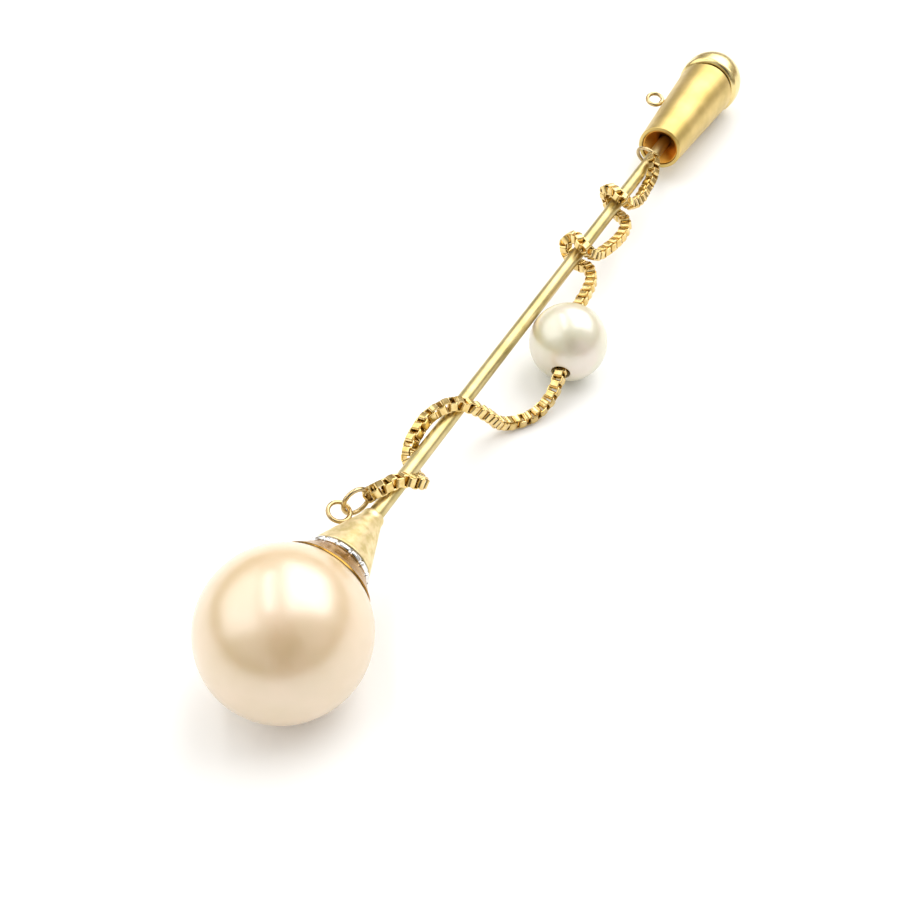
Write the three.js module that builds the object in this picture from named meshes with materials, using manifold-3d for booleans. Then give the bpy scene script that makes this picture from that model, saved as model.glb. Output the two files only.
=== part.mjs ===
// Pearl tie tack: a golden pearl on a long polished pin, a safety chain that is wound round the pin and
// carries a small white pearl, and a ball-lock clutch on the pin's point.
// Millimetres, +Z up, +X from the pearl to the clutch. The tack lies on the ground on its pearl, its clutch
// knob and its white pearl, and the origin is on the ground under the middle of its length.

import * as THREE from 'three';
import { mergeVertices } from 'three/addons/utils/BufferGeometryUtils.js';
import Module from 'manifold-3d';

const wasm = await Module();
wasm.setup();

// Driving sizes. A station is a distance along the pin from the golden pearl's centre.
const PEARL_RADIUS = 5.0;
const KNOB_RADIUS = 2.75;
const KNOB_WIDEST = 70.0;
const KNOB_END = 72.8;
const WIRE_RADIUS = 0.5;
const WHITE_RADIUS = 2.8;
const CHAIN_WIDTH = 0.85;

const RUNNING = 0.06;
const SEATED = 0.03;
const FACETS = 32;

// The pin slopes down from the pearl's centre height to the knob's.
const SLOPE = Math.asin((PEARL_RADIUS - KNOB_RADIUS) / KNOB_WIDEST);
const MIDDLE = (KNOB_END * Math.cos(SLOPE) - PEARL_RADIUS) / 2;

// Head
const SOCKET_DEPTH = 4.2;
const PEG_RADIUS = 0.45;
const CUP_RIM_RADIUS = 3.1;
const CUP_LIP = 0.12;
const RING = { start: 5.28, end: 5.72, inner: 1.5, outer: 2.16 };
const CONE = { base: 5.78, baseRadius: 2.03, shoulder: 9.3, shoulderRadius: 0.74, tip: 9.75, tipRadius: 0.66 };
const WIRE_START = 7.0;

// Pin point and clutch
const POINT_START = 64.6;
const POINT_END = 67.0;
const MOUTH = 57.2;
const MOUTH_RADIUS = 1.85;
const BARREL_END = 68.5;
const BARREL_RADIUS = 2.52;
const BARREL_WALL = 0.3;
const BUSH = { start: 57.35, throat: 58.5, end: 59.6 };
const TAPER = { start: 60.0, end: 64.4, smallRadius: 1.12, slope: 1 / 6 };
const BALL_STATION = 61.0;
const BALL_RADIUS = 0.36;
const CAGE = { start: 60.2, flange: 62.6, flangeEnd: 62.9, end: 70.1, nose: 1.0, tail: 0.94, flangeRadius: 1.4 };
const SPRING = { start: 63.05, end: 66.85, radius: 1.22, wire: 0.11, turns: 5 };
const COLLAR = { start: 67.1, end: 67.8 };
const KNOB_FACE = 68.95;

// Small rings: [distance along the pin, left, up] from the pearl's centre, in the pin's own frame
const EYELET = { centre: [8.6, 1.74, 0.565], normal: [0, -0.309, 0.951], radius: 0.68, wire: 0.14 };
const JUMP_RING = { centre: [9.7, 1.22, 0.71], normal: [-0.449, -0.893, 0.03], radius: 0.9, wire: 0.15 };
const TAIL_RING = { centre: [55.2, 0.25, 0.13], normal: [0.906, -0.19, 0.378], radius: 1.0, wire: 0.14 };
const SIDE_LOOP = { centre: [63.9, 3.06, 0.45], normal: [-0.25, -0.15, 0.96], radius: 0.66, wire: 0.17 };

// White pearl: its centre in the pin's frame, and the way its bore runs
const WHITE_CENTRE = new THREE.Vector3(31.514, -3.13, -1.169);
const WHITE_BORE = new THREE.Vector3(0.943, 0.230, 0.241).normalize();
const WHITE_BORE_RADIUS = 0.66;

// Chain route as [station, degrees round the pin from the top towards its right side, distance from its axis].
// The head run goes once round the pin, over it, down to the ground and into the white pearl.
const HEAD_RUN = [
  [10.8, -25, 1.12], [11.1, -10, 1.12], [11.45, -2, 1.12], [12.2, 20, 1.12], [13.0, 62, 1.06],
  [13.7, 100, 1.07], [14.3, 145, 1.05], [14.9, 190, 1.05], [15.5, 235, 1.05], [16.2, 272, 1.06],
  [17.0, 291, 1.14], [18.1, 303, 1.18], [19.0, 329, 1.07], [19.75, 366, 1.08], [20.4, 411, 1.09],
  [21.0, 448, 1.15], [21.5, 472, 1.6], [22.3, 494, 2.3], [23.3, 509, 3.35], [24.5, 508, 4.3],
  [25.8, 498, 4.82], [27.3, 488, 4.78],
];
// The tail run comes out of the white pearl and goes twice round the pin, in two open loops.
const TAIL_RUN = [
  [36.6, 99, 2.35], [38.3, 105, 2.0], [39.6, 122, 1.3], [40.0, 155, 1.08], [40.2, 195, 1.05],
  [40.35, 235, 1.05], [40.4, 270, 1.15], [40.5, 300, 1.3], [40.5, 335, 1.12], [39.9, 375, 1.06],
  [39.9, 420, 1.08], [41.2, 470, 1.25], [42.9, 474, 1.65], [44.9, 474, 1.85], [46.4, 476, 1.6],
  [47.2, 495, 1.18], [47.8, 530, 1.06], [48.2, 570, 1.05], [48.4, 612, 1.1], [48.3, 655, 1.35],
  [47.9, 690, 1.14], [47.4, 725, 1.06], [47.4, 770, 1.06], [48.2, 810, 1.1], [50.0, 834, 1.27],
  [51.6, 836, 1.15], [52.6, 815, 1.08], [53.3, 780, 1.08], [53.95, 752, 1.13],
];

const SATIN_GOLD = { color: 0xd9b45c, roughness: 0.42, metalness: 1 };
const POLISHED_GOLD = { color: 0xe8c15e, roughness: 0.14, metalness: 1 };
const WHITE_GOLD = { color: 0xd6d6d6, roughness: 0.16, metalness: 1 };
const STEEL = { color: 0xb8babd, roughness: 0.25, metalness: 1 };
const GOLDEN_NACRE = { color: 0xf1dfb8, roughness: 0.2, metalness: 0 };
const WHITE_NACRE = { color: 0xf2f0ea, roughness: 0.18, metalness: 0 };

const tack = new THREE.Group();
const pin = new THREE.Group();
pin.position.set(-MIDDLE, 0, PEARL_RADIUS);
pin.rotation.y = SLOPE;
tack.add(pin);

function place(name, geometry, finish) {
  const mesh = new THREE.Mesh(geometry, new THREE.MeshStandardMaterial(finish));
  mesh.name = name;
  pin.add(mesh);
  return mesh;
}

// A turned piece from its outline of [station, radius] points, run anticlockwise with the axis at the left.
function turned(outline, facets = FACETS) {
  const points = outline.map(([station, radius]) => new THREE.Vector2(radius, station));
  const geometry = new THREE.LatheGeometry(points, facets);
  geometry.rotateZ(-Math.PI / 2);
  return geometry;
}

function closed(outline) {
  return [...outline, outline[0]];
}

// Points of a circular arc about [station, radius], from one angle to another, 0 degrees being along +station.
function arc(station, radius, size, from, to, steps) {
  const points = [];
  for (let i = 0; i <= steps; i += 1) {
    const angle = THREE.MathUtils.degToRad(from + ((to - from) * i) / steps);
    points.push([station + size * Math.cos(angle), Math.max(0, radius + size * Math.sin(angle))]);
  }
  return points;
}

function solid(geometry) {
  const bare = geometry.clone();
  bare.deleteAttribute('normal');
  bare.deleteAttribute('uv');
  const merged = mergeVertices(bare, 1e-4);
  const mesh = new wasm.Mesh({
    numProp: 3,
    vertProperties: new Float32Array(merged.attributes.position.array),
    triVerts: new Uint32Array(merged.index.array),
  });
  return new wasm.Manifold(mesh);
}

function geometryOf(manifold) {
  const mesh = manifold.getMesh();
  const geometry = new THREE.BufferGeometry();
  geometry.setAttribute('position', new THREE.BufferAttribute(new Float32Array(mesh.vertProperties), 3));
  geometry.setIndex(new THREE.BufferAttribute(new Uint32Array(mesh.triVerts), 1));
  return geometry;
}

function wireRing({ centre, normal, radius, wire }) {
  const geometry = new THREE.TorusGeometry(radius, wire, 8, 20);
  const across = new THREE.Vector3(...normal).normalize();
  geometry.applyQuaternion(new THREE.Quaternion().setFromUnitVectors(new THREE.Vector3(0, 0, 1), across));
  geometry.translate(...centre);
  return geometry;
}

// A round bar swept along a curve, with flat ends.
function bar(curve, radius, sides, steps) {
  const section = new THREE.Shape();
  for (let i = 0; i < sides; i += 1) {
    const angle = (2 * Math.PI * i) / sides;
    const move = i === 0 ? 'moveTo' : 'lineTo';
    section[move](radius * Math.cos(angle), radius * Math.sin(angle));
  }
  section.closePath();
  return new THREE.ExtrudeGeometry(section, { steps, bevelEnabled: false, extrudePath: curve });
}

// --- Head -------------------------------------------------------------------------------------------------

// The pearl is drilled halfway from the pin's side.
function goldenPearl() {
  const holeRadius = PEG_RADIUS + RUNNING;
  const drillAngle = THREE.MathUtils.radToDeg(Math.asin(holeRadius / PEARL_RADIUS));
  const surface = arc(0, 0, PEARL_RADIUS, 180, drillAngle, 20);
  const bottom = PEARL_RADIUS - SOCKET_DEPTH;
  return turned([...surface, [bottom, holeRadius], [bottom, 0]], 40);
}

function pearlPeg() {
  const end = WIRE_START - 0.3;
  return turned([[1.1, 0], [1.1, PEG_RADIUS], [end, PEG_RADIUS], [end, 0]], 20);
}

// A dish that fits the pearl, with a thin polished lip and a flare that narrows to the ring's seat behind.
function pearlCup() {
  const seat = RING.start - SEATED;
  const bed = PEARL_RADIUS + SEATED;
  const holeRadius = PEG_RADIUS + SEATED;
  const rimAngle = THREE.MathUtils.radToDeg(Math.asin(CUP_RIM_RADIUS / bed));
  const holeAngle = THREE.MathUtils.radToDeg(Math.asin(holeRadius / bed));
  const dish = arc(0, 0, bed, holeAngle, rimAngle, 8);
  const lip = bed * Math.cos(Math.asin(CUP_RIM_RADIUS / bed)) + CUP_LIP;
  return turned(closed([...dish, [lip, CUP_RIM_RADIUS], [seat, RING.outer - 0.04], [seat, holeRadius]]));
}

function milledRing() {
  const { start, end, inner, outer } = RING;
  const bevel = 0.08;
  return turned(closed([
    [start, inner], [start, outer - bevel], [start + bevel, outer],
    [end - bevel, outer], [end, outer - bevel], [end, inner],
  ]));
}

// The cone is solid but for the socket that holds the pin's wire and the hole for the pearl's peg.
function coneCap() {
  const { base, baseRadius, shoulder, shoulderRadius, tip, tipRadius } = CONE;
  const pegHole = PEG_RADIUS + SEATED;
  const wireHole = WIRE_RADIUS + SEATED;
  return turned(closed([
    [base, pegHole], [base, baseRadius], [shoulder, shoulderRadius],
    [shoulder + 0.3, shoulderRadius - 0.02], [tip, tipRadius], [tip, wireHole],
    [WIRE_START - SEATED, wireHole], [WIRE_START - SEATED, pegHole],
  ]));
}

function pinStem() {
  return turned([
    [WIRE_START, 0], [WIRE_START, WIRE_RADIUS], [POINT_START, WIRE_RADIUS],
    [POINT_START + 1.5, 0.3], [POINT_END - 0.1, 0.08], [POINT_END, 0],
  ], 24);
}

// --- Chain ------------------------------------------------------------------------------------------------

function roundPin([station, degrees, distance]) {
  const angle = THREE.MathUtils.degToRad(degrees);
  return new THREE.Vector3(station, -distance * Math.sin(angle), distance * Math.cos(angle));
}

function alongBore(distance) {
  return WHITE_CENTRE.clone().addScaledVector(WHITE_BORE, distance);
}

// Each run is a plain bar here; the two meet in the middle of the white pearl.
function headRun() {
  const gap = 0.15;
  const points = [...HEAD_RUN.map(roundPin), alongBore(-WHITE_RADIUS), alongBore(-1.4), alongBore(-gap)];
  return bar(new THREE.CatmullRomCurve3(points), CHAIN_WIDTH / 2, 8, 48);
}

function tailRun() {
  const gap = 0.15;
  const points = [alongBore(gap), alongBore(1.4), alongBore(WHITE_RADIUS), ...TAIL_RUN.map(roundPin)];
  return bar(new THREE.CatmullRomCurve3(points), CHAIN_WIDTH / 2, 8, 60);
}

function whitePearl() {
  const drillAngle = THREE.MathUtils.radToDeg(Math.asin(WHITE_BORE_RADIUS / WHITE_RADIUS));
  const surface = arc(0, 0, WHITE_RADIUS, 180 - drillAngle, drillAngle, 16);
  const geometry = turned(closed(surface));
  geometry.applyQuaternion(new THREE.Quaternion().setFromUnitVectors(new THREE.Vector3(1, 0, 0), WHITE_BORE));
  geometry.translate(...WHITE_CENTRE);
  return geometry;
}

// --- Clutch -----------------------------------------------------------------------------------------------

function barrelRadius(station) {
  return MOUTH_RADIUS + ((BARREL_RADIUS - MOUTH_RADIUS) * (station - MOUTH)) / (BARREL_END - MOUTH);
}

function barrelBore(station) {
  return barrelRadius(station) - BARREL_WALL;
}

// A thin tapered shell with a flat lip at its mouth and a rounded edge at its back.
function clutchBarrel() {
  const round = 0.35;
  const lip = 0.08;
  const back = arc(BARREL_END - round, BARREL_RADIUS - round - 0.02, round, 90, 0, 4);
  const rise = (back[0][1] - MOUTH_RADIUS) / (back[0][0] - MOUTH - lip);
  const stations = [60.0, 62.8, 65.6];
  const outside = stations.map((s) => [s, MOUTH_RADIUS + (s - MOUTH - lip) * rise]);
  const inside = stations.map((s) => [s, barrelBore(s)]).reverse();
  return turned(closed([
    [MOUTH, barrelBore(MOUTH)], [MOUTH, MOUTH_RADIUS - 0.05], [MOUTH + lip, MOUTH_RADIUS], ...outside,
    ...back, [BARREL_END, barrelBore(BARREL_END)], ...inside,
  ]));
}

// The funnel in the mouth leads the pin's point to the throat.
function mouthBush() {
  const { start, throat, end } = BUSH;
  const bore = WIRE_RADIUS + RUNNING;
  return turned(closed([
    [start, barrelBore(start) - 0.12], [start, barrelBore(start) - SEATED], [end, barrelBore(end) - SEATED],
    [end, bore], [throat, bore],
  ]));
}

function taperRadius(station) {
  return TAPER.smallRadius + (station - TAPER.start) * TAPER.slope;
}

function taperSleeve() {
  const { start, end } = TAPER;
  return turned(closed([
    [start, taperRadius(start)], [start, barrelBore(start) - SEATED],
    [end, barrelBore(end) - SEATED], [end, taperRadius(end)],
  ]));
}

// The cage is a tube with three windows for the balls, a flange for the spring and a tail that holds the knob.
function ballCage() {
  const { start, flange, flangeEnd, end, nose, tail, flangeRadius } = CAGE;
  const bore = WIRE_RADIUS + RUNNING;
  let body = solid(turned(closed([
    [start, bore], [start, nose], [flange, nose], [flange, flangeRadius], [flangeEnd, flangeRadius],
    [flangeEnd, tail], [end, tail], [end, bore],
  ]), 24));
  for (let i = 0; i < 3; i += 1) {
    const drill = new THREE.CylinderGeometry(BALL_RADIUS + 0.05, BALL_RADIUS + 0.05, 2, 16);
    drill.translate(0, 1.2, 0);
    drill.rotateX(ballAngle(i));
    drill.translate(BALL_STATION, 0, 0);
    body = body.subtract(solid(drill));
  }
  return geometryOf(body);
}

function ballAngle(index) {
  return (2 * Math.PI * index) / 3 + Math.PI / 2;
}

function gripBall(index) {
  const geometry = new THREE.SphereGeometry(BALL_RADIUS, 14, 9);
  geometry.translate(0, WIRE_RADIUS + BALL_RADIUS + 0.02, 0);
  geometry.rotateX(ballAngle(index));
  geometry.translate(BALL_STATION, 0, 0);
  return geometry;
}

class Helix extends THREE.Curve {
  getPoint(t, target = new THREE.Vector3()) {
    const angle = 2 * Math.PI * SPRING.turns * t;
    const station = SPRING.start + SPRING.wire + (SPRING.end - SPRING.start - 2 * SPRING.wire) * t;
    return target.set(station, SPRING.radius * Math.cos(angle), SPRING.radius * Math.sin(angle));
  }
}

function clutchSpring() {
  return bar(new Helix(), SPRING.wire, 6, 16 * SPRING.turns);
}

function endCollar() {
  const { start, end } = COLLAR;
  const bore = CAGE.tail + RUNNING;
  return turned(closed([
    [start, bore], [start, barrelBore(start) - SEATED], [end, barrelBore(end) - SEATED], [end, bore],
  ]));
}

// A domed pull knob with a blind bore for the cage's tail and room for the pin's point.
function pullKnob() {
  const edge = 0.45;
  const socket = CAGE.tail + SEATED;
  const domeLength = KNOB_END - KNOB_WIDEST;
  const dome = arc(0, 0, 1, 90, 0, 8).map(([along, out]) => [
    KNOB_WIDEST + domeLength * along, KNOB_RADIUS * out,
  ]);
  const depth = CAGE.end + SEATED;
  return turned([
    [depth, 0], [depth, socket], [KNOB_FACE, socket], [KNOB_FACE, KNOB_RADIUS - edge - 0.1],
    ...arc(KNOB_FACE + edge, KNOB_RADIUS - edge - 0.05, edge, 180, 90, 3), ...dome,
  ]);
}

place('golden_pearl', goldenPearl(), GOLDEN_NACRE);
place('pearl_peg', pearlPeg(), POLISHED_GOLD);
place('pearl_cup', pearlCup(), POLISHED_GOLD);
place('milled_ring', milledRing(), WHITE_GOLD);
place('cone_cap', coneCap(), SATIN_GOLD);
place('pin_stem', pinStem(), POLISHED_GOLD);
place('head_eyelet', wireRing(EYELET), POLISHED_GOLD);
place('head_jump_ring', wireRing(JUMP_RING), POLISHED_GOLD);
place('chain_head_run', headRun(), POLISHED_GOLD);
place('chain_tail_run', tailRun(), POLISHED_GOLD);
place('white_pearl', whitePearl(), WHITE_NACRE);
place('tail_ring', wireRing(TAIL_RING), POLISHED_GOLD);
place('clutch_barrel', clutchBarrel(), POLISHED_GOLD);
place('side_loop', wireRing(SIDE_LOOP), POLISHED_GOLD);
place('mouth_bush', mouthBush(), POLISHED_GOLD);
place('taper_sleeve', taperSleeve(), STEEL);
place('ball_cage', ballCage(), POLISHED_GOLD);
for (let i = 0; i < 3; i += 1) {
  place(`grip_ball_${i + 1}`, gripBall(i), STEEL);
}
place('clutch_spring', clutchSpring(), STEEL);
place('end_collar', endCollar(), POLISHED_GOLD);
place('pull_knob', pullKnob(), POLISHED_GOLD);

export default tack;
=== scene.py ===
"""The pearl tie tack's looks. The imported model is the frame, and each node that shows gets a finer piece."""

import math
import random

import bmesh
import bpy
from mathutils import Matrix, Vector, noise


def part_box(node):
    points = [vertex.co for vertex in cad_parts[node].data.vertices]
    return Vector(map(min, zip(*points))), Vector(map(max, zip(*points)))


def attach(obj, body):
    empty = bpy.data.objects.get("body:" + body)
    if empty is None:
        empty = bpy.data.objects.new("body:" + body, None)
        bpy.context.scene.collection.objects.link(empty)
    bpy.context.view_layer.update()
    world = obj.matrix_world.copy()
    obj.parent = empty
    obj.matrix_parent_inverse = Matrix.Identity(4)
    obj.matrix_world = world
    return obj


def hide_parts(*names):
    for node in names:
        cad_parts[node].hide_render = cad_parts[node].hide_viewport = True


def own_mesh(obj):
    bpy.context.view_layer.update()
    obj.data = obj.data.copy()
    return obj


MM = 0.001

# Sizes in millimetres. Stations run along the pin from the golden pearl's centre.
PEARL_RADIUS = 5.0
KNOB_RADIUS = 2.75
KNOB_WIDEST = 70.0
KNOB_END = 72.8
WIRE_RADIUS = 0.5
PEG_RADIUS = 0.45
SOCKET_DEPTH = 4.2
RUNNING = 0.06
SEATED = 0.03
SLOPE = math.asin((PEARL_RADIUS - KNOB_RADIUS) / KNOB_WIDEST)
MIDDLE = (KNOB_END * math.cos(SLOPE) - PEARL_RADIUS) / 2

CUP_RIM_RADIUS = 3.1
CUP_LIP = 0.12
RING_START, RING_END, RING_INNER, RING_OUTER = 5.28, 5.72, 1.5, 2.16
CONE_BASE, CONE_BASE_RADIUS = 5.78, 2.03
CONE_SHOULDER, CONE_SHOULDER_RADIUS = 9.3, 0.74
CONE_TIP, CONE_TIP_RADIUS = 9.75, 0.66
WIRE_START, POINT_START, POINT_END = 7.0, 64.6, 67.0

MOUTH, MOUTH_RADIUS = 57.2, 1.85
BARREL_END, BARREL_RADIUS, BARREL_WALL = 68.5, 2.52, 0.3
BUSH_START, BUSH_THROAT, BUSH_END = 57.35, 58.5, 59.6
TAPER_START, TAPER_END, TAPER_RADIUS, TAPER_SLOPE = 60.0, 64.4, 1.12, 1 / 6
BALL_STATION, BALL_RADIUS = 61.0, 0.36
CAGE_START, CAGE_FLANGE, CAGE_FLANGE_END, CAGE_END = 60.2, 62.6, 62.9, 70.1
CAGE_NOSE, CAGE_TAIL, CAGE_FLANGE_RADIUS = 1.0, 0.94, 1.4
SPRING_START, SPRING_END, SPRING_RADIUS, SPRING_WIRE, SPRING_TURNS = 63.05, 66.85, 1.22, 0.11, 5
COLLAR_START, COLLAR_END = 67.1, 67.8
KNOB_FACE = 68.95

EYELET = {"centre": (8.6, 1.74, 0.565), "normal": (0, -0.309, 0.951), "radius": 0.68, "wire": 0.14}
JUMP_RING = {"centre": (9.7, 1.22, 0.71), "normal": (-0.449, -0.893, 0.03), "radius": 0.9, "wire": 0.15}
TAIL_RING = {"centre": (55.2, 0.25, 0.13), "normal": (0.906, -0.19, 0.378), "radius": 1.0, "wire": 0.14}
SIDE_LOOP = {"centre": (63.9, 3.06, 0.45), "normal": (-0.25, -0.15, 0.96), "radius": 0.66, "wire": 0.17}

WHITE_RADIUS = 2.8
WHITE_CENTRE = Vector((31.514, -3.13, -1.169))
WHITE_BORE = Vector((0.943, 0.230, 0.241)).normalized()
WHITE_BORE_RADIUS = 0.66

# The chain's route. Each point is its station, its angle round the pin in degrees, from the pin's top
# towards its right side, and its distance from the pin's axis.
HEAD_RUN = [
    [10.8, -25, 1.12], [11.1, -10, 1.12], [11.45, -2, 1.12], [12.2, 20, 1.12], [13.0, 62, 1.06],
    [13.7, 100, 1.07], [14.3, 145, 1.05], [14.9, 190, 1.05], [15.5, 235, 1.05], [16.2, 272, 1.06],
    [17.0, 291, 1.14], [18.1, 303, 1.18], [19.0, 329, 1.07], [19.75, 366, 1.08], [20.4, 411, 1.09],
    [21.0, 448, 1.15], [21.5, 472, 1.6], [22.3, 494, 2.3], [23.3, 509, 3.35], [24.5, 508, 4.3],
    [25.8, 498, 4.82], [27.3, 488, 4.78],
]
TAIL_RUN = [
    [36.6, 99, 2.35], [38.3, 105, 2.0], [39.6, 122, 1.3], [40.0, 155, 1.08], [40.2, 195, 1.05],
    [40.35, 235, 1.05], [40.4, 270, 1.15], [40.5, 300, 1.3], [40.5, 335, 1.12], [39.9, 375, 1.06],
    [39.9, 420, 1.08], [41.2, 470, 1.25], [42.9, 474, 1.65], [44.9, 474, 1.85], [46.4, 476, 1.6],
    [47.2, 495, 1.18], [47.8, 530, 1.06], [48.2, 570, 1.05], [48.4, 612, 1.1], [48.3, 655, 1.35],
    [47.9, 690, 1.14], [47.4, 725, 1.06], [47.4, 770, 1.06], [48.2, 810, 1.1], [50.0, 834, 1.27],
    [51.6, 836, 1.15], [52.6, 815, 1.08], [53.3, 780, 1.08], [53.95, 752, 1.13],
]
LINK_PITCH = 0.41
LINK_LENGTH, LINK_HEIGHT, LINK_WIDTH, LINK_SHEET = 0.65, 0.86, 0.60, 0.12

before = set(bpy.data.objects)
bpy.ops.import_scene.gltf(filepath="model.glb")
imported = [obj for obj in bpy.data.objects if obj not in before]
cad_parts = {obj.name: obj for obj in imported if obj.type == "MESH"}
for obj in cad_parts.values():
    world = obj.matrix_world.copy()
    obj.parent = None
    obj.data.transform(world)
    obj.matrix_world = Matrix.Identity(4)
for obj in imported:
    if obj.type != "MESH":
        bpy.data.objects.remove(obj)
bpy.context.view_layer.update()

PIN = Matrix.Translation((-MIDDLE * MM, 0, PEARL_RADIUS * MM)) @ Matrix.Rotation(SLOPE, 4, "Y")


def on_pin(point):
    """A point of the pin's own frame, in millimetres, in the row frame."""
    return PIN @ (Vector(point) * MM)


def centre_of(node):
    low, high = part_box(node)
    return (low + high) / 2


# --- Camera ------------------------------------------------------------------------------------------------

CAMERA_FROM_PEARL = Vector((-28.94, -25.76, 55.10))
CAMERA_HEADING = math.radians(28.04)
CAMERA_PITCH = math.radians(47.0)


def add_camera():
    data = bpy.data.cameras.new("camera")
    data.lens = 48
    data.sensor_width = 36
    data.clip_start = 0.002
    camera = bpy.data.objects.new("camera", data)
    bpy.context.scene.collection.objects.link(camera)
    camera.location = centre_of("golden_pearl") + CAMERA_FROM_PEARL * MM
    level = math.cos(CAMERA_PITCH)
    forward = Vector((
        level * math.cos(CAMERA_HEADING), level * math.sin(CAMERA_HEADING), -math.sin(CAMERA_PITCH),
    ))
    camera.rotation_euler = forward.to_track_quat("-Z", "Y").to_euler()
    bpy.context.scene.camera = camera


add_camera()

# --- Materials ---------------------------------------------------------------------------------------------


class Finish:
    """A material on one Principled shader, with helpers that add its procedural detail."""

    def __init__(self, name, **values):
        self.material = bpy.data.materials.new(name)
        self.material.use_nodes = True
        self.tree = self.material.node_tree
        self.shader = self.tree.nodes["Principled BSDF"]
        for socket, value in values.items():
            self.shader.inputs[socket.replace("_", " ")].default_value = value
        self.place = self.tree.nodes.new("ShaderNodeTexCoord").outputs["Object"]

    def link(self, source, target):
        self.tree.links.new(source, target)

    def noise(self, size, detail=3.0, stretch=(1, 1, 1)):
        """Noise whose features are about size millimetres."""
        scaled = self.tree.nodes.new("ShaderNodeMapping")
        scaled.inputs["Scale"].default_value = stretch
        self.link(self.place, scaled.inputs["Vector"])
        node = self.tree.nodes.new("ShaderNodeTexNoise")
        node.inputs["Scale"].default_value = 1 / (size * MM)
        node.inputs["Detail"].default_value = detail
        self.link(scaled.outputs["Vector"], node.inputs["Vector"])
        return node.outputs["Fac"]

    def ramp(self, factor, stops):
        node = self.tree.nodes.new("ShaderNodeValToRGB")
        ramp = node.color_ramp
        while len(ramp.elements) < len(stops):
            ramp.elements.new(0.5)
        for element, (position, colour) in zip(ramp.elements, stops):
            element.position = position
            element.color = (*colour, 1)
        self.link(factor, node.inputs["Fac"])
        return node.outputs["Color"]

    def colour(self, factor, stops):
        self.link(self.ramp(factor, stops), self.shader.inputs["Base Color"])

    def roughness(self, factor, low, high):
        node = self.tree.nodes.new("ShaderNodeMapRange")
        node.inputs["From Min"].default_value = 0.3
        node.inputs["From Max"].default_value = 0.7
        node.inputs["To Min"].default_value = low
        node.inputs["To Max"].default_value = high
        self.link(factor, node.inputs["Value"])
        self.link(node.outputs["Result"], self.shader.inputs["Roughness"])

    def bump(self, factor, height):
        """Relief of about height millimetres."""
        node = self.tree.nodes.new("ShaderNodeBump")
        node.inputs["Strength"].default_value = 1.0
        node.inputs["Distance"].default_value = height * MM
        self.link(factor, node.inputs["Height"])
        self.link(node.outputs["Normal"], self.shader.inputs["Normal"])


def nacre(name, shades, roughness, coat_roughness, depth):
    finish = Finish(
        name, IOR=3.0, Coat_Weight=1.0, Coat_Roughness=coat_roughness, Coat_IOR=1.8,
        Subsurface_Weight=depth, Subsurface_Scale=0.4 * MM,
    )
    finish.shader.inputs["Subsurface Radius"].default_value = (1.0, 0.65, 0.4)
    low, high = roughness
    finish.colour(finish.noise(3.2, 2.0), [(0.3, shades[0]), (0.5, shades[1]), (0.7, shades[2])])
    finish.roughness(finish.noise(0.9), low, high)
    finish.bump(finish.noise(1.6, 1.0), 0.004)
    return finish.material


def metal(name, shades, roughness, mottle, grain, relief, stretch=(1, 1, 1)):
    finish = Finish(name, Metallic=1.0)
    low, high = roughness
    finish.colour(finish.noise(mottle, 2.0), [(0.35, shades[0]), (0.65, shades[1])])
    finish.roughness(finish.noise(grain * 3, 4.0, stretch), low, high)
    finish.bump(finish.noise(grain, 3.0, stretch), relief)
    return finish.material


GOLDEN_NACRE = nacre(
    "golden_nacre", [(0.61, 0.42, 0.17), (0.65, 0.45, 0.21), (0.70, 0.48, 0.25)], (0.34, 0.42), 0.25, 0.15,
)
WHITE_NACRE = nacre(
    "white_nacre", [(0.54, 0.53, 0.32), (0.61, 0.56, 0.36), (0.68, 0.57, 0.44)], (0.34, 0.42), 0.25, 0.15,
)
POLISHED_GOLD = metal(
    "polished_gold", [(0.40, 0.29, 0.14), (0.64, 0.50, 0.27)], (0.14, 0.22), 0.8, 0.12, 0.0006,
)
STEM_GOLD = metal(
    "drawn_gold", [(0.50, 0.41, 0.17), (0.64, 0.52, 0.26)], (0.28, 0.40), 1.6, 0.10, 0.0016, (0.06, 1, 1),
)
SHELL_GOLD = metal(
    "shell_gold", [(0.58, 0.43, 0.14), (0.71, 0.53, 0.20)], (0.34, 0.42), 2.2, 0.12, 0.0004,
)
KNOB_GOLD = metal(
    "knob_gold", [(0.72, 0.58, 0.25), (0.84, 0.68, 0.33)], (0.20, 0.28), 2.2, 0.12, 0.0004,
)
# The funnel's gold is darkened to deep orange as painted shade, for the shade in the recess inside the
# clutch's mouth.
PAINTED_SHADE_FUNNEL_GOLD = metal(
    "funnel_gold_painted_shade", [(0.60, 0.28, 0.04), (0.72, 0.38, 0.08)], (0.28, 0.38), 1.2, 0.10, 0.0010,
)
# The cup's gold is darkened to deep orange-brown as painted shade, for the shade in the gap between the cup
# and the golden pearl.
PAINTED_SHADE_CUP_GOLD = metal(
    "cup_gold_painted_shade", [(0.32, 0.15, 0.02), (0.48, 0.27, 0.06)], (0.20, 0.28), 1.2, 0.12, 0.0008,
)
CHAIN_GOLD = metal(
    "chain_gold", [(0.64, 0.45, 0.15), (0.85, 0.65, 0.31)], (0.14, 0.22), 0.5, 0.10, 0.0008,
)
SATIN_GOLD = metal(
    "satin_gold", [(0.70, 0.57, 0.27), (0.90, 0.75, 0.46)], (0.38, 0.55), 0.5, 0.07, 0.008,
)
WHITE_GOLD = metal(
    "white_gold", [(0.70, 0.70, 0.70), (0.88, 0.87, 0.86)], (0.10, 0.20), 0.6, 0.08, 0.0008,
)
HARD_STEEL = metal(
    "hardened_steel", [(0.50, 0.50, 0.51), (0.60, 0.60, 0.61)], (0.18, 0.30), 0.8, 0.06, 0.0008, (0.1, 1, 1),
)
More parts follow.
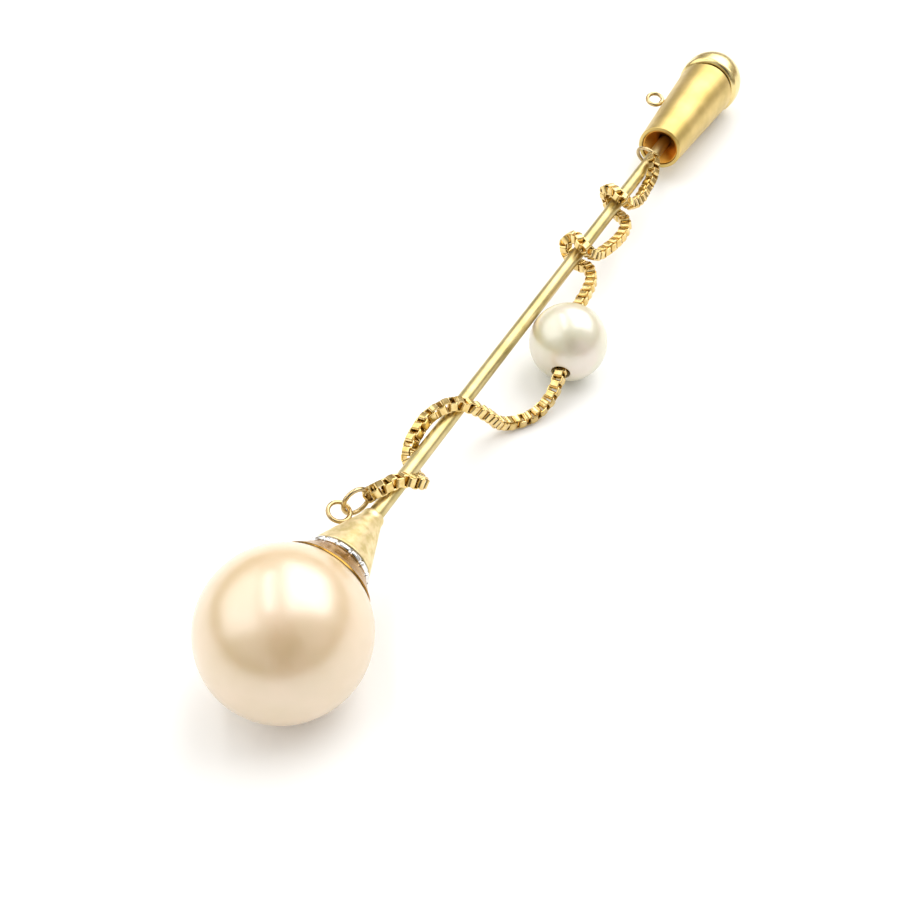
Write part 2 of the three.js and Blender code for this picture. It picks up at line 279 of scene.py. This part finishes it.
SPRING_STEEL = metal(
    "spring_steel", [(0.44, 0.44, 0.46), (0.56, 0.56, 0.58)], (0.26, 0.38), 0.6, 0.05, 0.0008,
)

# --- Mesh helpers ------------------------------------------------------------------------------------------


def add_piece(node, verts, faces, material, body, replaced=None, sharp=40):
    """Makes the piece that stands for a CAD node, in the row frame."""
    mesh = bpy.data.meshes.new(node + "_detail")
    mesh.from_pydata(verts, [], faces)
    cleaned = bmesh.new()
    cleaned.from_mesh(mesh)
    bmesh.ops.recalc_face_normals(cleaned, faces=cleaned.faces)
    cleaned.to_mesh(mesh)
    cleaned.free()
    mesh.shade_smooth()
    mesh.set_sharp_from_angle(angle=math.radians(sharp))
    mesh.materials.append(material)
    obj = bpy.data.objects.new(node + "_detail", mesh)
    bpy.context.scene.collection.objects.link(obj)
    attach(obj, body)
    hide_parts(*(replaced or [node]))
    return obj


def arc(station, radius, size, start, end, steps):
    """Outline points of a circular arc, 0 degrees being along the pin."""
    points = []
    for i in range(steps + 1):
        angle = math.radians(start + (end - start) * i / steps)
        points.append((station + size * math.cos(angle), max(0.0, radius + size * math.sin(angle))))
    return points


def softened(outline, size, closed=True):
    """The outline with each corner rounded, and points beside each round that keep its flats flat."""
    points = [Vector(p) for p in outline]
    count = len(points)
    result = []
    for i, corner in enumerate(points):
        if not closed and i in (0, count - 1):
            result.append(tuple(corner))
            continue
        before = points[i - 1] - corner
        after = points[(i + 1) % count] - corner
        reach = min(size, 0.3 * before.length, 0.3 * after.length)
        start = corner + before.normalized() * reach
        end = corner + after.normalized() * reach
        result.append(tuple(corner + before.normalized() * reach * 1.4))
        for k in range(5):
            t = k / 4
            result.append(tuple(start * (1 - t) ** 2 + corner * 2 * t * (1 - t) + end * t * t))
        result.append(tuple(corner + after.normalized() * reach * 1.4))
    return result


def lathe(outline, closed=True, steps=96, shape=None, to_row=on_pin):
    """Turns an outline of (station, radius) round the axis. shape(radius, angle) may vary the radius."""
    verts, faces, rings = [], [], []
    for station, radius in outline:
        if radius < 1e-6:
            rings.append([len(verts)])
            verts.append(to_row((station, 0, 0)))
            continue
        rings.append(range(len(verts), len(verts) + steps))
        for k in range(steps):
            angle = 2 * math.pi * k / steps
            size = shape(radius, angle) if shape else radius
            verts.append(to_row((station, size * math.cos(angle), size * math.sin(angle))))
    pairs = list(zip(rings, rings[1:]))
    if closed:
        pairs.append((rings[-1], rings[0]))
    for one, two in pairs:
        for k in range(steps):
            m = (k + 1) % steps
            if len(one) == 1:
                faces.append((one[0], two[m], two[k]))
            elif len(two) == 1:
                faces.append((one[k], one[m], two[0]))
            else:
                faces.append((one[k], one[m], two[m], two[k]))
    return verts, faces


def carried_frames(points, closed=False):
    """Tangent, normal and binormal at each point, carried along the line without twist."""
    count = len(points)
    tangents = []
    for i in range(count):
        ahead = points[(i + 1) % count] if closed else points[min(i + 1, count - 1)]
        behind = points[i - 1] if closed else points[max(i - 1, 0)]
        tangents.append((ahead - behind).normalized())
    normal = tangents[0].orthogonal().normalized()
    frames = []
    for tangent in tangents:
        normal = (normal - tangent * normal.dot(tangent)).normalized()
        frames.append((tangent, normal, tangent.cross(normal)))
    return frames


def tube(points, radii, sides=20, closed=False):
    """A round wire along points in the row frame, with flat caps where it is open."""
    frames = carried_frames(points, closed)
    verts, faces = [], []
    for point, radius, (_, normal, binormal) in zip(points, radii, frames):
        for k in range(sides):
            angle = 2 * math.pi * k / sides
            verts.append(point + (normal * math.cos(angle) + binormal * math.sin(angle)) * radius)
    count = len(points)
    for i in range(count if closed else count - 1):
        j = (i + 1) % count
        for k in range(sides):
            m = (k + 1) % sides
            faces.append((i * sides + k, i * sides + m, j * sides + m, j * sides + k))
    if not closed:
        faces.append(tuple(range(sides)))
        faces.append(tuple(range((count - 1) * sides, count * sides)))
    return verts, faces


# --- Chain -------------------------------------------------------------------------------------------------


def round_pin(station, degrees, distance):
    angle = math.radians(degrees)
    return on_pin((station, -distance * math.sin(angle), distance * math.cos(angle)))


def along_bore(distance):
    return on_pin(WHITE_CENTRE + WHITE_BORE * distance)


def smooth_line(points, steps=12):
    """A centripetal Catmull-Rom curve through the points."""
    ends = [points[0] * 2 - points[1], *points, points[-1] * 2 - points[-2]]
    line = []
    for p0, p1, p2, p3 in zip(ends, ends[1:], ends[2:], ends[3:]):
        t1 = math.sqrt((p1 - p0).length)
        t2 = t1 + math.sqrt((p2 - p1).length)
        t3 = t2 + math.sqrt((p3 - p2).length)
        for k in range(steps):
            t = t1 + (t2 - t1) * k / steps
            a1 = p0 * ((t1 - t) / t1) + p1 * (t / t1)
            a2 = p1 * ((t2 - t) / (t2 - t1)) + p2 * ((t - t1) / (t2 - t1))
            a3 = p2 * ((t3 - t) / (t3 - t2)) + p3 * ((t - t2) / (t3 - t2))
            b1 = a1 * ((t2 - t) / t2) + a2 * (t / t2)
            b2 = a2 * ((t3 - t) / (t3 - t1)) + a3 * ((t - t1) / (t3 - t1))
            line.append(b1 * ((t2 - t) / (t2 - t1)) + b2 * ((t - t1) / (t2 - t1)))
    line.append(points[-1])
    return line


def spaced(line, gap):
    """Points at equal gaps along a line, the gap being adjusted so that the last point is its end."""
    reach = [0.0]
    for a, b in zip(line, line[1:]):
        reach.append(reach[-1] + (b - a).length)
    count = round(reach[-1] / gap)
    result, i = [], 0
    for k in range(count + 1):
        target = reach[-1] * k / count
        while i < len(line) - 2 and reach[i + 1] < target:
            i += 1
        share = (target - reach[i]) / (reach[i + 1] - reach[i])
        result.append(line[i].lerp(line[i + 1], share))
    return result, reach[-1]


def link_shape():
    """One folded link about the origin: a strip bent to a square ring in the x-z plane, its width along y."""
    bend = 0.15
    half_length = (LINK_LENGTH - LINK_SHEET) / 2
    half_height = (LINK_HEIGHT - LINK_SHEET) / 2
    loop = []
    for corner, (sx, sz) in enumerate([(1, 1), (-1, 1), (-1, -1), (1, -1)]):
        for k in range(5):
            angle = math.radians(90 * corner + 22.5 * k)
            out = Vector((math.cos(angle), math.sin(angle)))
            middle = Vector((sx * (half_length - bend), sz * (half_height - bend)))
            loop.append((middle + out * bend, out))
    thick, wide, edge = LINK_SHEET / 2, LINK_WIDTH / 2, 0.03
    section = [
        (thick, -wide + edge), (thick, wide - edge), (thick - edge, wide), (-thick + edge, wide),
        (-thick, wide - edge), (-thick, -wide + edge), (-thick + edge, -wide), (thick - edge, -wide),
    ]
    verts, faces = [], []
    for middle, out in loop:
        for depth, side in section:
            place = middle + out * depth
            verts.append(Vector((place.x, side, place.y)) * MM)
    rows, cols = len(loop), len(section)
    for i in range(rows):
        for k in range(cols):
            j, m = (i + 1) % rows, (k + 1) % cols
            faces.append((i * cols + k, i * cols + m, j * cols + m, j * cols + k))
    return verts, faces


# The first link starts inside the jump ring, just before the route.
RING_HOLD = [10.5, -45, 1.1]
CHAIN_POINTS = (
    [round_pin(*p) for p in [RING_HOLD, *HEAD_RUN]]
    + [along_bore(d) for d in (-2.8, -1.4, 0, 1.4, 2.8)]
    + [round_pin(*p) for p in TAIL_RUN]
)
# At station CORNER_AT, a corner of the links faces along CORNER_OUT.
CORNER_OUT = Vector((-0.6, -0.32, 0.73))
CORNER_AT = 18.0
LINK_TURN_PLAY, LINK_TILT_PLAY = 2.5, 1.5


def chain_mesh():
    """Each link is turned a quarter from the one before it, with a little play."""
    centres, length = spaced(smooth_line(CHAIN_POINTS), LINK_PITCH * MM)
    frames = carried_frames(centres)
    mark = on_pin((CORNER_AT, 0, 0)).x
    nearest = min(range(len(centres)), key=lambda i: abs(centres[i].x - mark))
    _, aside, up = frames[nearest]
    roll = math.atan2(CORNER_OUT.dot(up), CORNER_OUT.dot(aside)) + math.pi / 4
    link_verts, link_faces = link_shape()
    play = random.Random(11)
    verts, faces = [], []
    for i, (centre, (tangent, normal, binormal)) in enumerate(zip(centres, frames)):
        basis = Matrix((tangent, binormal, normal)).transposed()
        turn = roll + (i % 2) * math.pi / 2 + math.radians(play.uniform(-LINK_TURN_PLAY, LINK_TURN_PLAY))
        tilt = math.radians(play.uniform(-LINK_TILT_PLAY, LINK_TILT_PLAY))
        spin = Matrix.Rotation(-turn, 3, "X") @ Matrix.Rotation(tilt, 3, "Y")
        start = len(verts)
        verts.extend(centre + basis @ (spin @ v) for v in link_verts)
        faces.extend(tuple(start + k for k in face) for face in link_faces)
    return verts, faces, centres, length


def add_rings():
    rings = {}
    for node, ring, body, swell, gap in [
        ("head_eyelet", EYELET, "root", 0.1, 0.0),
        ("head_jump_ring", JUMP_RING, "jump_ring", 0.0, 0.03),
        ("tail_ring", TAIL_RING, "tail_ring", 0.12, 0.0),
        ("side_loop", SIDE_LOOP, "clutch", 0.35, 0.0),
    ]:
        rings[node] = add_ring(node, ring, body, swell, gap)
    return rings


def add_ring(node, ring, body, swell, gap):
    """A wire ring. swell thickens its side next to the pin. gap, in millimetres, opens its far side."""
    centre = Vector(ring["centre"])
    normal = Vector(ring["normal"]).normalized()
    inward = Vector((0, -centre.y, -centre.z))
    inward = (inward - normal * inward.dot(normal)).normalized()
    across = normal.cross(inward)
    count = 72
    solder_spread = 0.35
    span = 2 * math.pi - gap / ring["radius"]
    points, radii = [], []
    for k in range(count + (1 if gap else 0)):
        angle = (gap / 2 / ring["radius"]) + span * k / count
        out = inward * math.cos(angle) + across * math.sin(angle)
        if gap:
            out = -inward * math.cos(angle) + across * math.sin(angle)
        points.append(on_pin(centre + out * ring["radius"]))
        from_joint = min(angle, 2 * math.pi - angle)
        radii.append(ring["wire"] * (1 + swell * math.exp(-(from_joint / solder_spread) ** 2)) * MM)
    verts, faces = tube(points, radii, 20, closed=not gap)
    return add_piece(node, verts, faces, POLISHED_GOLD, body)


def pearl_shape(centre, radius, verts, amount):
    """Low swells of a real pearl's surface, in millimetres."""
    shaped = []
    for v in verts:
        out = v - centre
        if out.length < 0.97 * radius * MM:
            shaped.append(v)
            continue
        swell = noise.noise(out.normalized() * 1.7) + 0.35 * noise.noise(out.normalized() * 5.0)
        shaped.append(v + out.normalized() * swell * amount * MM)
    return shaped


def add_white_pearl():
    turn = Vector((1, 0, 0)).rotation_difference(WHITE_BORE)
    drill = math.degrees(math.asin(WHITE_BORE_RADIUS / WHITE_RADIUS))
    soft = 1.6
    end = WHITE_RADIUS * math.cos(math.radians(drill))
    outline = arc(0, 0, WHITE_RADIUS, 180 - drill - soft, drill + soft, 90)
    rim = [(end - 0.03, WHITE_BORE_RADIUS + 0.02), (end - 0.1, WHITE_BORE_RADIUS)]
    bore = [(end * (1 - k / 4), WHITE_BORE_RADIUS) for k in range(1, 7)]
    outline += rim + bore + [(-s, r) for s, r in reversed(rim)]
    verts, faces = lathe(
        outline, steps=120, to_row=lambda p: on_pin(WHITE_CENTRE + turn @ Vector(p)),
    )
    verts = pearl_shape(on_pin(WHITE_CENTRE), WHITE_RADIUS, verts, 0.012)
    return add_piece("white_pearl", verts, faces, WHITE_NACRE, "white_pearl")


def add_chain(rings, pearl):
    verts, faces, centres, length = chain_mesh()
    chain = add_piece(
        "box_chain", verts, faces, CHAIN_GOLD, "root",
        ["chain_head_run", "chain_tail_run"], sharp=30,
    )


add_chain(add_rings(), add_white_pearl())

# --- Head --------------------------------------------------------------------------------------------------


def add_golden_pearl():
    hole = PEG_RADIUS + RUNNING
    drill = math.degrees(math.asin(hole / PEARL_RADIUS))
    bottom = PEARL_RADIUS - SOCKET_DEPTH
    outline = arc(0, 0, PEARL_RADIUS, 180, drill + 1, 120)
    outline += [(PEARL_RADIUS - 0.06, hole), (PEARL_RADIUS - 0.3, hole), (bottom + 0.2, hole), (bottom, 0)]
    verts, faces = lathe(outline, closed=False, steps=160)
    verts = pearl_shape(on_pin((0, 0, 0)), PEARL_RADIUS, verts, 0.016)
    add_piece("golden_pearl", verts, faces, GOLDEN_NACRE, "root")


def add_peg():
    end = WIRE_START - 0.3
    outline = softened([(1.1, 0), (1.1, PEG_RADIUS), (end, PEG_RADIUS), (end, 0)], 0.08, closed=False)
    verts, faces = lathe(outline, closed=False, steps=48)
    add_piece("pearl_peg", verts, faces, POLISHED_GOLD, "root")


def add_cup():
    seat = RING_START - SEATED
    bed = PEARL_RADIUS + SEATED
    hole = PEG_RADIUS + SEATED
    rim_angle = math.degrees(math.asin(CUP_RIM_RADIUS / bed))
    hole_angle = math.degrees(math.asin(hole / bed))
    dish = arc(0, 0, bed, hole_angle, rim_angle, 24)
    lip = dish[-1][0] + CUP_LIP
    back = softened([
        dish[-1], (lip, CUP_RIM_RADIUS), (lip + 0.28, CUP_RIM_RADIUS - 0.28), (seat, RING_OUTER - 0.04),
        (seat, hole),
    ], 0.05, closed=False)
    verts, faces = lathe(dish[:-1] + back, steps=160)
    # The cup's base colour carries painted shade.
    add_piece("pearl_cup", verts, faces, PAINTED_SHADE_CUP_GOLD, "root")


def add_milled_ring():
    """A band with narrow notches milled across its crown."""
    notches = 15
    crown_size = 0.2
    notch_depth, notch_width = 0.17, 0.07

    def milled(radius, angle):
        if radius < RING_OUTER - crown_size:
            return radius
        away = (angle * notches / (2 * math.pi) + 0.5) % 1 - 0.5
        across = away * 2 * math.pi * RING_OUTER / notches
        return radius - notch_depth * math.exp(-(across / notch_width) ** 2)

    crown = arc((RING_START + RING_END) / 2, RING_OUTER - crown_size, crown_size, 155, 25, 10)
    outline = [(RING_START, RING_INNER), (RING_START, RING_OUTER - 0.22), *crown]
    outline += [(RING_END, RING_OUTER - 0.22), (RING_END, RING_INNER)]
    verts, faces = lathe(outline, steps=notches * 30, shape=milled)
    add_piece("milled_ring", verts, faces, WHITE_GOLD, "root", sharp=60)


def add_cone():
    peg, wire = PEG_RADIUS + SEATED, WIRE_RADIUS + SEATED
    outline = softened([
        (CONE_BASE, peg), (CONE_BASE, CONE_BASE_RADIUS), (CONE_SHOULDER, CONE_SHOULDER_RADIUS),
        (CONE_SHOULDER + 0.3, CONE_SHOULDER_RADIUS - 0.02), (CONE_TIP, CONE_TIP_RADIUS), (CONE_TIP, wire),
        (WIRE_START - SEATED, wire), (WIRE_START - SEATED, peg),
    ], 0.09)
    verts, faces = lathe(outline, steps=128)
    add_piece("cone_cap", verts, faces, SATIN_GOLD, "root")


def add_stem():
    outline = softened([
        (WIRE_START, 0), (WIRE_START, WIRE_RADIUS), (POINT_START, WIRE_RADIUS), (POINT_START + 1.5, 0.3),
        (POINT_END - 0.1, 0.08), (POINT_END, 0),
    ], 0.25, closed=False)
    verts, faces = lathe(outline, closed=False, steps=64)
    add_piece("pin_stem", verts, faces, STEM_GOLD, "root")


add_golden_pearl()
add_peg()
add_cup()
add_milled_ring()
add_cone()
add_stem()

# --- Clutch ------------------------------------------------------------------------------------------------


def barrel_radius(station):
    return MOUTH_RADIUS + (BARREL_RADIUS - MOUTH_RADIUS) * (station - MOUTH) / (BARREL_END - MOUTH)


def bore_radius(station):
    return barrel_radius(station) - BARREL_WALL


def add_barrel():
    outline = softened([
        (MOUTH, bore_radius(MOUTH)), (MOUTH, MOUTH_RADIUS), (BARREL_END, BARREL_RADIUS - 0.02),
        (BARREL_END, bore_radius(BARREL_END)),
    ], 0.16)
    verts, faces = lathe(outline, steps=128)
    add_piece("clutch_barrel", verts, faces, SHELL_GOLD, "clutch")


def add_bush():
    bore = WIRE_RADIUS + RUNNING
    outline = softened([
        (BUSH_START, bore_radius(BUSH_START) - 0.12), (BUSH_START, bore_radius(BUSH_START) - SEATED),
        (BUSH_END, bore_radius(BUSH_END) - SEATED), (BUSH_END, bore), (BUSH_THROAT, bore),
    ], 0.12)
    verts, faces = lathe(outline, steps=96)
    # The funnel's base colour carries painted shade.
    add_piece("mouth_bush", verts, faces, PAINTED_SHADE_FUNNEL_GOLD, "clutch_carrier")


def add_sleeve():
    end_radius = TAPER_RADIUS + (TAPER_END - TAPER_START) * TAPER_SLOPE
    outline = softened([
        (TAPER_START, TAPER_RADIUS), (TAPER_START, bore_radius(TAPER_START) - SEATED),
        (TAPER_END, bore_radius(TAPER_END) - SEATED), (TAPER_END, end_radius),
    ], 0.06)
    verts, faces = lathe(outline, steps=96)
    add_piece("taper_sleeve", verts, faces, HARD_STEEL, "clutch")


def ball_angle(index):
    return 2 * math.pi * index / 3 + math.pi / 2


def ball_centre(index):
    distance = WIRE_RADIUS + BALL_RADIUS + 0.02
    return Vector((
        BALL_STATION, distance * math.cos(ball_angle(index)), distance * math.sin(ball_angle(index)),
    ))


def add_cage():
    """The cage's three windows are cut by drills that are then removed."""
    bore = WIRE_RADIUS + RUNNING
    outline = softened([
        (CAGE_START, bore), (CAGE_START, CAGE_NOSE), (CAGE_FLANGE, CAGE_NOSE),
        (CAGE_FLANGE, CAGE_FLANGE_RADIUS), (CAGE_FLANGE_END, CAGE_FLANGE_RADIUS),
        (CAGE_FLANGE_END, CAGE_TAIL), (CAGE_END, CAGE_TAIL), (CAGE_END, bore),
    ], 0.05)
    verts, faces = lathe(outline, steps=72)
    cage = add_piece("ball_cage", verts, faces, POLISHED_GOLD, "puller")
    drills = []
    for i in range(3):
        out = Vector((0, math.cos(ball_angle(i)), math.sin(ball_angle(i))))
        ends = [on_pin(Vector((BALL_STATION, 0, 0)) + out * d) for d in (0.2, 1.5)]
        verts, faces = tube(ends, [(BALL_RADIUS + 0.05) * MM] * 2, 32)
        mesh = bpy.data.meshes.new("drill")
        mesh.from_pydata(verts, [], faces)
        drill = bpy.data.objects.new("drill", mesh)
        bpy.context.scene.collection.objects.link(drill)
        drills.append(drill)
        cut = cage.modifiers.new("window", "BOOLEAN")
        cut.operation = "DIFFERENCE"
        cut.solver = "EXACT"
        cut.object = drill
    bpy.context.view_layer.update()
    result = bpy.data.meshes.new_from_object(cage.evaluated_get(bpy.context.evaluated_depsgraph_get()))
    cage.modifiers.clear()
    cage.data = result
    for drill in drills:
        bpy.data.objects.remove(drill)


def add_balls():
    for i in range(3):
        centre = ball_centre(i)
        verts, faces = lathe(
            arc(0, 0, BALL_RADIUS, 180, 0, 24), closed=False, steps=40,
            to_row=lambda p, centre=centre: on_pin(centre + Vector(p)),
        )
        name = f"grip_ball_{i + 1}"
        add_piece(name, verts, faces, HARD_STEEL, f"ball_{i + 1}")


def add_spring():
    """The end turns lie nearly flat. The spring shortens towards the collar."""
    steps = 40 * SPRING_TURNS
    low, high = SPRING_START + SPRING_WIRE, SPRING_END - SPRING_WIRE
    points = []
    for k in range(steps + 1):
        turn = SPRING_TURNS * k / steps
        rise = min(max((turn - 0.75) / (SPRING_TURNS - 1.5), 0), 1)
        rise += (turn / SPRING_TURNS - rise) * 0.15
        angle = 2 * math.pi * turn
        points.append(on_pin((
            low + (high - low) * rise, SPRING_RADIUS * math.cos(angle), SPRING_RADIUS * math.sin(angle),
        )))
    verts, faces = tube(points, [SPRING_WIRE * MM] * len(points), 14)
    spring = add_piece("clutch_spring", verts, faces, SPRING_STEEL, "clutch")
    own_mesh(spring)


def add_collar():
    bore = CAGE_TAIL + RUNNING
    outline = softened([
        (COLLAR_START, bore), (COLLAR_START, bore_radius(COLLAR_START) - SEATED),
        (COLLAR_END, bore_radius(COLLAR_END) - SEATED), (COLLAR_END, bore),
    ], 0.08)
    verts, faces = lathe(outline, steps=96)
    add_piece("end_collar", verts, faces, POLISHED_GOLD, "clutch")


def add_knob():
    """A dome on a rounded skirt, bored for the cage's tail."""
    socket = CAGE_TAIL + SEATED
    edge = 0.45
    dome_length = KNOB_END - KNOB_WIDEST
    dome = [
        (KNOB_WIDEST + dome_length * along, KNOB_RADIUS * out) for along, out in arc(0, 0, 1, 90, 0, 48)
    ]
    skirt = arc(KNOB_FACE + edge, KNOB_RADIUS - edge - 0.05, edge, 180, 90, 14)
    depth = CAGE_END + SEATED
    bored = softened([(depth, 0), (depth, socket), (KNOB_FACE, socket), skirt[0]], 0.08, closed=False)
    verts, faces = lathe(bored + skirt[1:] + dome, closed=False, steps=128)
    add_piece("pull_knob", verts, faces, KNOB_GOLD, "puller")


add_barrel()
add_bush()
add_sleeve()
add_cage()
add_balls()
add_spring()
add_collar()
add_knob()

# --- Studio ------------------------------------------------------------------------------------------------

CEILING = 0.9
CEILING_TURN = math.radians(36)


def ceiling_light(name, along, across, radiance, colour=(1, 1, 1)):
    """A soft panel overhead. Its edges are in ceiling heights, from right above the golden pearl."""
    size = ((along[1] - along[0]) * CEILING, (across[1] - across[0]) * CEILING)
    data = bpy.data.lights.new(name, "AREA")
    data.shape = "RECTANGLE"
    data.size, data.size_y = size
    data.energy = radiance * math.pi * size[0] * size[1]
    data.color = colour
    light = bpy.data.objects.new(name, data)
    bpy.context.scene.collection.objects.link(light)
    middle = Vector(((along[0] + along[1]) / 2, (across[0] + across[1]) / 2, 0)) * CEILING
    middle.rotate(Matrix.Rotation(CEILING_TURN, 3, "Z"))
    pearl = centre_of("golden_pearl")
    light.location = (pearl.x + middle.x, pearl.y + middle.y, CEILING)
    light.rotation_euler = (0, 0, CEILING_TURN)


def add_floor():
    half = 3.0
    corners = [(-half, -half, 0), (half, -half, 0), (half, half, 0), (-half, half, 0)]
    mesh = bpy.data.meshes.new("floor")
    mesh.from_pydata(corners, [], [(0, 1, 2, 3)])
    finish = Finish("floor", Base_Color=(0.92, 0.92, 0.915, 1), Roughness=0.9)
    mesh.materials.append(finish.material)
    floor = bpy.data.objects.new("floor", mesh)
    bpy.context.scene.collection.objects.link(floor)


def add_dark_card():
    """A dark card above, that shows only as the soft dark patch reflected in the pearls and the gold."""
    toward = Vector((-0.60, -0.49, 0.62)).normalized()
    distance, radius = 0.5, 0.21
    mesh = bpy.data.meshes.new("dark_card")
    side = toward.orthogonal().normalized()
    up = toward.cross(side)
    middle = centre_of("golden_pearl") + toward * distance
    count = 48
    mesh.from_pydata(
        [
            middle + (side * math.cos(a) + up * math.sin(a)) * radius
            for a in (2 * math.pi * k / count for k in range(count))
        ],
        [], [tuple(range(count))],
    )
    finish = Finish("dark_card", Base_Color=(0.03, 0.027, 0.024, 1), Roughness=0.9)
    mesh.materials.append(finish.material)
    show_in_reflections("dark_card", mesh)


def add_surroundings():
    """The dim room beyond the white surface, that shows only as the soft dark line low in the gold."""
    radius, low, high = 1.4, 0.02, 0.38
    count = 64
    middle = centre_of("golden_pearl")
    turns = [2 * math.pi * k / count for k in range(count)]
    mesh = bpy.data.meshes.new("dim_room")
    mesh.from_pydata(
        [
            (middle.x + radius * math.cos(a), middle.y + radius * math.sin(a), height)
            for height in (low, high) for a in turns
        ],
        [], [(k, (k + 1) % count, count + (k + 1) % count, count + k) for k in range(count)],
    )
    finish = Finish("dim_room", Base_Color=(0.27, 0.23, 0.18, 1), Roughness=0.9)
    mesh.materials.append(finish.material)
    show_in_reflections("dim_room", mesh)


def show_in_reflections(name, mesh):
    """A stage piece that only reflections show."""
    card = bpy.data.objects.new(name, mesh)
    bpy.context.scene.collection.objects.link(card)
    card.visible_camera = False
    card.visible_shadow = False
    card.visible_diffuse = False


def add_world():
    world = bpy.data.worlds.new("studio")
    world.use_nodes = True
    background = world.node_tree.nodes["Background"]
    background.inputs["Color"].default_value = (1.0, 0.985, 0.96, 1)
    background.inputs["Strength"].default_value = 0.62
    bpy.context.scene.world = world


ceiling_light("narrow_window", (-0.12, 1.2), (0.12, 0.29), 3.8)
ceiling_light("wide_window", (-0.15, 1.9), (-1.9, -0.16), 2.6)
ceiling_light("left_glow", (-0.5, 1.8), (0.5, 3.2), 1.35, (1, 0.99, 0.96))
add_floor()
add_dark_card()
add_surroundings()
add_world()
bpy.context.scene.view_settings.view_transform = "Standard"
bpy.context.scene.view_settings.look = "None"
